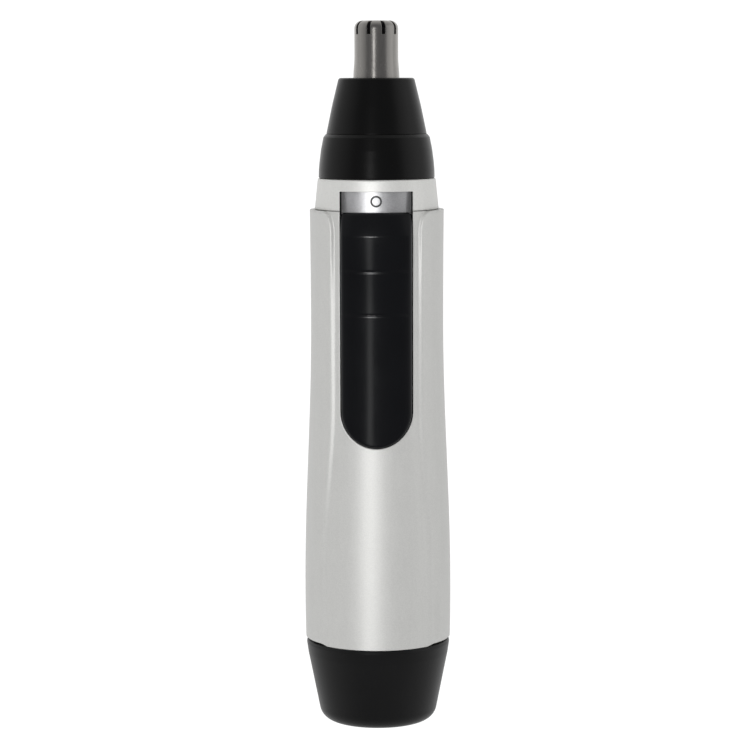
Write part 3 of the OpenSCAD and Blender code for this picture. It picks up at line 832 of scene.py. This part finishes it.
def head_ring():
    """The ring: slightly barrelled outside, with a groove for the seal inside."""
    z0, z1, r = RING_LOW.z, RING_HIGH.z, RING_HIGH.x
    seal_z = (SEAL_LOW.z + SEAL_HIGH.z) / 2
    groove_z0, groove_z1 = seal_z - GROOVE_HALF, seal_z + GROOVE_HALF
    groove_r = SEAL_HIGH.x + 0.05
    h = z1 - z0
    outline = [
        (HEAD_BORE_R, z0, 0.15), (r, z0, 0.14), (r - 0.04, z0 + 0.18 * h, 3),
        (r - 0.17, z0 + 0.36 * h, 4), (r - 0.46, z0 + 0.64 * h, 5), (RING_R_TOP, z1 - 0.62, 0.3),
        (CONE_R_LOW + 0.12, z1 - 0.02, 0.1), (CONE_R_LOW - 0.5, z1, 0.02), (HEAD_BORE_R, z1, 0),
        (HEAD_BORE_R, groove_z1, 0.05), (groove_r, groove_z1, 0.1),
        (groove_r, groove_z0, 0.1), (HEAD_BORE_R, groove_z0, 0.05),
    ]
    nodes = ("head_ring",)
    turned("head_ring_skin", outline, "head", NOZZLE_BLACK, nodes, HEAD_TURNS)


def nozzle_cone():
    """The cone: a skirt inside the ring, a side, and a seat for the tip's flange."""
    z0, z1 = RING_HIGH.z, CONE_HIGH.z
    skirt_z0 = CONE_LOW.z
    skirt_r = HEAD_BORE_R - 0.05
    skirt_r_in = skirt_r - 1.2
    tip_hole_r = TIP_R + 0.32
    seat_r = FLANGE_R + 0.05
    foot_z = z0 + 0.02
    outline = [
        (skirt_r_in, skirt_z0, 0.1), (skirt_r, skirt_z0, 0.15), (skirt_r, foot_z, 0.02),
        (CONE_R_LOW, foot_z, 0.06), (CONE_R_LOW - 0.02, z0 + 0.25, 0.2),
        ((CONE_R_LOW + CONE_R_TOP) / 2 + 0.06, (z0 + z1) / 2, 25), (CONE_R_TOP - 0.1, z1, 0.55),
        (tip_hole_r, z1, 0.18), (tip_hole_r, FLANGE_Z1, 0), (seat_r, FLANGE_Z1, 0),
        (seat_r, FLANGE_Z0, 0.05), (skirt_r_in, z0 + 1, 0.5),
    ]
    nodes = ("nozzle_cone",)
    turned("nozzle_cone_skin", outline, "head", NOZZLE_BLACK, nodes, HEAD_TURNS, 7)


TIP_WALL = 0.35
TIP_ROUND = 1.5
TIP_SLOTS = 9
TIP_SLOT_W = 0.7
TIP_SLOT_H = 2.6
TIP_SLOT_END_R = 1.6
TIP_FOOT_SWELL, TIP_FOOT_H = 0.22, 4.0


def outer_blade():
    """The steel tip: a tube that rounds over to a flat end, slotted from its shoulder inward."""
    bore = TIP_R - TIP_WALL
    slot_z = TIP_Z1 - TIP_SLOT_H
    round_z = TIP_Z1 - TIP_ROUND
    centre_r = TIP_R - TIP_ROUND
    pairs = [
        ((FLANGE_R, FLANGE_Z0), (bore, FLANGE_Z0)),
        ((FLANGE_R, FLANGE_Z1), (bore, FLANGE_Z0 + 0.3)),
        ((TIP_R + TIP_FOOT_SWELL + 0.05, FLANGE_Z1), (bore, FLANGE_Z0 + 0.5)),
        ((TIP_R + TIP_FOOT_SWELL, CONE_Z1), (bore, CONE_Z1)),
    ]
    for k in range(1, 9):
        z = CONE_Z1 + TIP_FOOT_H * k / 8
        pairs.append(((TIP_R + TIP_FOOT_SWELL * (1 - smooth(k / 8)), z), (bore, z)))
    pairs += [((TIP_R, slot_z - d), (bore, slot_z - d)) for d in (2.5, 1.2, 0.35)]
    first_slot = len(pairs) + 1
    pairs += [((TIP_R, z), (bore, z)) for z in (slot_z - 0.12, slot_z, slot_z + 0.4, round_z)]
    for k in range(1, 9):
        a = radians(90) * k / 8
        pairs.append(tuple(
            (centre_r + turn * cos(a), round_z + turn * sin(a))
            for turn in (TIP_ROUND, TIP_ROUND - TIP_WALL)
        ))
    roof_z = TIP_Z1 - TIP_WALL
    pairs += [((r, TIP_Z1), (r, roof_z)) for r in (2.2, TIP_SLOT_END_R)]
    last_slot = len(pairs) - 1
    pairs += [((r, TIP_Z1), (r, roof_z)) for r in (1.45, 0.7, 0.0)]
    in_slot, beside = 4, 10
    sector = in_slot + beside

    def row(r, z):
        line = []
        for n in range(TIP_SLOTS):
            middle = 2 * pi * (n + 0.5) / TIP_SLOTS
            edge = asin(TIP_SLOT_W / 2 / max(r, TIP_SLOT_END_R))
            gap = 2 * pi / TIP_SLOTS - 2 * edge
            line += [middle - edge + 2 * edge * k / in_slot for k in range(in_slot)]
            line += [middle + edge + gap * k / beside for k in range(beside)]
        return [on_ring(r, a, z) for a in line]

    outer = [row(*pair[0]) for pair in pairs]
    inner = [row(*pair[1]) for pair in pairs]

    def in_a_slot(i, j):
        return first_slot <= i < last_slot and j % sector < in_slot

    mesh = walled(outer, inner, in_a_slot, True)
    finished("slotted_tip", mesh, "head", TIP_STEEL, ("outer_blade",), 0.05)


def head_seal():
    """The rubber ring in the head ring's groove."""
    low, high = SEAL_LOW.z, SEAL_HIGH.z
    r_in, r_out = SEAL_HIGH.x - SEAL_DEPTH, SEAL_HIGH.x
    corner = 0.45
    outline = [(r, z, corner) for r, z in ((r_in, low), (r_out, low), (r_out, high), (r_in, high))]
    turned("head_seal_ring", outline, "head_carrier", SEAL, ("head_seal",))


head_ring()
nozzle_cone()
outer_blade()
head_seal()

# ------------------------------------------------ the spindle under the head


def spindle():
    """The white rod that turns the cutter, with a hollow foot that fits over the coupling."""
    low, high = span("spindle")
    rod_r, foot_r, socket_r = 1.5, 3.0, 1.2
    foot_h, socket_h = 6.2, 4.4
    foot_z, socket_z = low.z + foot_h, low.z + socket_h
    outline = [
        (0.0, socket_z, 0), (socket_r, socket_z, 0), (socket_r, low.z, 0), (foot_r, low.z, 0.2),
        (foot_r, foot_z, 0.5), (rod_r, foot_z + 0.05, 0.4), (rod_r, high.z, 0.15), (0.0, high.z, 0),
    ]
    turned("spindle_rod", outline, "cutter", WHITE, ("spindle",), 72)


spindle()

# ------------------------------------------------ the battery cap

CAP_Z1 = SHELL_Z0 - 0.1
FOOT_R = 8.4
FOOT_ROUND = 3.0
CAP_WALL = 1.6
CAP_FLOOR = 2.2
SIDE_LEAN = 11.5


def battery_cap():
    """The cap: a round-footed cup with a thin inner sleeve that slides up inside the shell."""
    top = span("battery_cap")[1].z
    seal_low, seal_high = span("cap_seal")
    sleeve_r_out = seal_high.x - 0.2
    sleeve_r = sleeve_r_out - 1.25
    seal_z = (seal_low.z + seal_high.z) / 2
    groove_r = sleeve_r_out - 0.8
    groove_z0, groove_z1 = seal_z - GROOVE_HALF, seal_z + GROOVE_HALF
    rim = CAP_RIM_R
    outline = [(0.0, 0.0, 0)]
    for k in range(0, 11):
        a = radians(90 - SIDE_LEAN) * k / 10
        outline.append((FOOT_R + FOOT_ROUND * sin(a), FOOT_ROUND * (1 - cos(a)), 0))
    outline += [
        (rim - 0.95, 10.2, 12), (rim - 0.3, CAP_Z1 - 2.65, 4), (rim, CAP_Z1 - 0.6, 0.9),
        (rim - 0.16, CAP_Z1, 0.14), (rim - CAP_WALL - 0.1, CAP_Z1, 0.2),
        (sleeve_r_out, CAP_FLOOR + 3.8, 0.3),
        (sleeve_r_out, groove_z0, 0.05), (groove_r, groove_z0, 0.1),
        (groove_r, groove_z1, 0.1), (sleeve_r_out, groove_z1, 0.05),
        (sleeve_r_out, top, 0.35), (sleeve_r, top, 0.25), (sleeve_r, CAP_FLOOR, 0.5),
        (0.0, CAP_FLOOR, 0),
    ]
    nodes = ("battery_cap",)
    turned("battery_cap_skin", outline, "cap", SATIN_BLACK, nodes, 220, 6)


battery_cap()

# ------------------------------------------------ the two springs

CELL_SPRING_R_LOW, CELL_SPRING_R_TOP = 5.6, 3.7
THRUST_SPRING_R = 2.35
CELL_WIRE_R, THRUST_WIRE_R = 0.32, 0.2
SPRING_TURNS = 5.5
SPRING_GAP = 0.04


def battery_spring():
    """The conical spring that presses the cell up."""
    low, high = span("battery_spring")
    coil("battery_spring_wire", low.z, high.z, CELL_SPRING_R_LOW, CELL_SPRING_R_TOP,
         CELL_WIRE_R, SPRING_TURNS, "cap", ("battery_spring",))


def thrust_spring():
    """The spring that lifts the cutter."""
    low, high = span("thrust_spring")
    wire = coil("thrust_spring_wire", low.z, high.z - SPRING_GAP, THRUST_SPRING_R, THRUST_SPRING_R,
                THRUST_WIRE_R, SPRING_TURNS, "rotor", ("thrust_spring",))
    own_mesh(wire)


battery_spring()
thrust_spring()

# ------------------------------------------------ CAD nodes that stay, each with its finish

FINISHES = [
    (TRACK_SILVER, ("switch_track",)),
    (FRAME_BLACK, ("battery_tube", "motor_cradle", "neck_spigot", "guide_ring")),
    (WHITE, ("spindle_bearing", "motor_bell", "drive_coupling")),
    (JACKET, ("battery_cell",)),
    (CONTACT, ("positive_contact", "negative_strip", "motor_terminals", "switch_contacts")),
    (CONTACT, ("switch_wiper", "cap_contact")),
    (CAN_STEEL, ("motor_can",)),
    (MAGNET, ("motor_magnets",)),
    (BRONZE, ("motor_bush",)),
    (BOARD, ("switch_base",)),
    (SPRING_STEEL, ("motor_shaft",)),
    (COPPER, ("commutator", "rotor_windings")),
    (IRON, ("rotor_core",)),
    (CUTTER_STEEL, ("inner_blade",)),
    (CAP_SEAL, ("cap_seal",)),
    (IVORY, ("switch_slider",)),
]
for material, nodes in FINISHES:
    for node in nodes:
        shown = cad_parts[node]
        shown.data.materials.clear()
        shown.data.materials.append(material)

# ------------------------------------------------ floor, light and camera


def floor():
    """A pale floor that lights the trimmer from below and stays out of view and of reflections."""
    mesh = bmesh.new()
    half = 4
    corners = [(-half, -half), (half, -half), (half, half), (-half, half)]
    mesh.faces.new([mesh.verts.new((x, y, 0)) for x, y in corners])
    data = bpy.data.meshes.new("floor")
    mesh.to_mesh(data)
    mesh.free()
    plane = bpy.data.objects.new("floor", data)
    bpy.context.scene.collection.objects.link(plane)
    pale = Finish("pale floor", (0.93, 0.93, 0.93), 0.7)
    pale.shader.inputs["Emission Color"].default_value = (1, 1, 1, 1)
    pale.shader.inputs["Emission Strength"].default_value = 0.6
    data.materials.append(pale.material)
    plane.visible_glossy = False
    plane.visible_camera = False


def softbox(name, place, aim, width, height, power, lit=()):
    """A rectangular lamp; where pieces are given, it lights only those."""
    light = bpy.data.lights.new(name, "AREA")
    light.shape = "RECTANGLE"
    light.size, light.size_y = width, height
    light.energy = power
    lamp = bpy.data.objects.new(name, light)
    bpy.context.scene.collection.objects.link(lamp)
    lamp.location = place
    lamp.rotation_euler = (Vector(aim) - Vector(place)).to_track_quat("-Z", "Y").to_euler()
    if lit:
        group = bpy.data.collections.new(name)
        for piece in lit:
            group.objects.link(piece)
        lamp.light_linking.receiver_collection = group


def grey(level, blue=None):
    """A grey, or one with its own blue."""
    return level, level, level if blue is None else blue, 1


def surroundings():
    """Even white all round, seen by glossy surfaces as dim ahead and brighter toward the back."""
    world = bpy.data.worlds.new("studio")
    bpy.context.scene.world = world
    world.use_nodes = True
    air = Nodes(world.node_tree, "Background")
    way = air.node("ShaderNodeTexCoord", {}, {}, "Generated")
    ahead = air.node("ShaderNodeSeparateXYZ", {}, {0: way}, "Y")
    toward_back = air.node("ShaderNodeMapRange", {}, {"Value": ahead, "From Min": -1.0})
    mirrored = [(0.16, grey(0.16, 0.165)), (0.45, grey(0.42)), (0.7, grey(0.6)), (1.0, grey(1.0))]
    shed = [(0.0, grey(1.05)), (0.5, grey(0.4)), (1.0, grey(0.2))]
    glossy, matte = (
        air.node("ShaderNodeValToRGB", {"stops": stops}, {"Fac": toward_back})
        for stops in (mirrored, shed)
    )
    to_glossy, to_camera = (
        air.node("ShaderNodeLightPath", {}, {}, ray) for ray in ("Is Glossy Ray", "Is Camera Ray")
    )
    light = air.mix(to_glossy, matte, glossy)
    air.feed("Color", air.mix(to_camera, light, grey(1.1)))


def camera():
    """Level with the middle of the trimmer and a little above it, square to the thumb slide."""
    aim = Vector((-0.00044, 0.0, 0.0673))
    distance, up, turn, tilt = 0.52, radians(6.5), radians(0.7), radians(-0.18)
    away = Vector((sin(turn) * cos(up), -cos(turn) * cos(up), sin(up)))
    data = bpy.data.cameras.new("camera")
    data.lens = 129.6
    data.sensor_width = 36
    data.clip_start, data.clip_end = 0.01, 20
    made = bpy.data.objects.new("camera", data)
    bpy.context.scene.collection.objects.link(made)
    look = (-away).to_track_quat("-Z", "Y").to_matrix().to_4x4()
    roll = Matrix.Rotation(tilt, 4, "Z")
    made.matrix_world = Matrix.Translation(aim + away * distance) @ look @ roll
    bpy.context.scene.camera = made


floor()
surroundings()
softbox("left softbox", (-0.42, -0.10, 0.16), (0, 0, 0.07), 0.34, 0.5, 0.05)
softbox("right softbox", (0.42, -0.10, 0.16), (0, 0, 0.07), 0.34, 0.5, 0.14)
softbox("front strip", (-0.125, -0.60, 0.08), (0, 0, 0.08), 0.08, 0.38, 0.22)
softbox("ridge light", (-0.08, -0.46, 0.205), (0, 0, 0.09), 0.12, 0.03, 1.6, [SLIDE])
softbox("paint strip", (-0.125, -0.60, 0.02), (0, 0, 0.07), 0.26, 0.70, 2.2, PAINTED)
camera()
bpy.context.scene.view_settings.view_transform = "Standard"
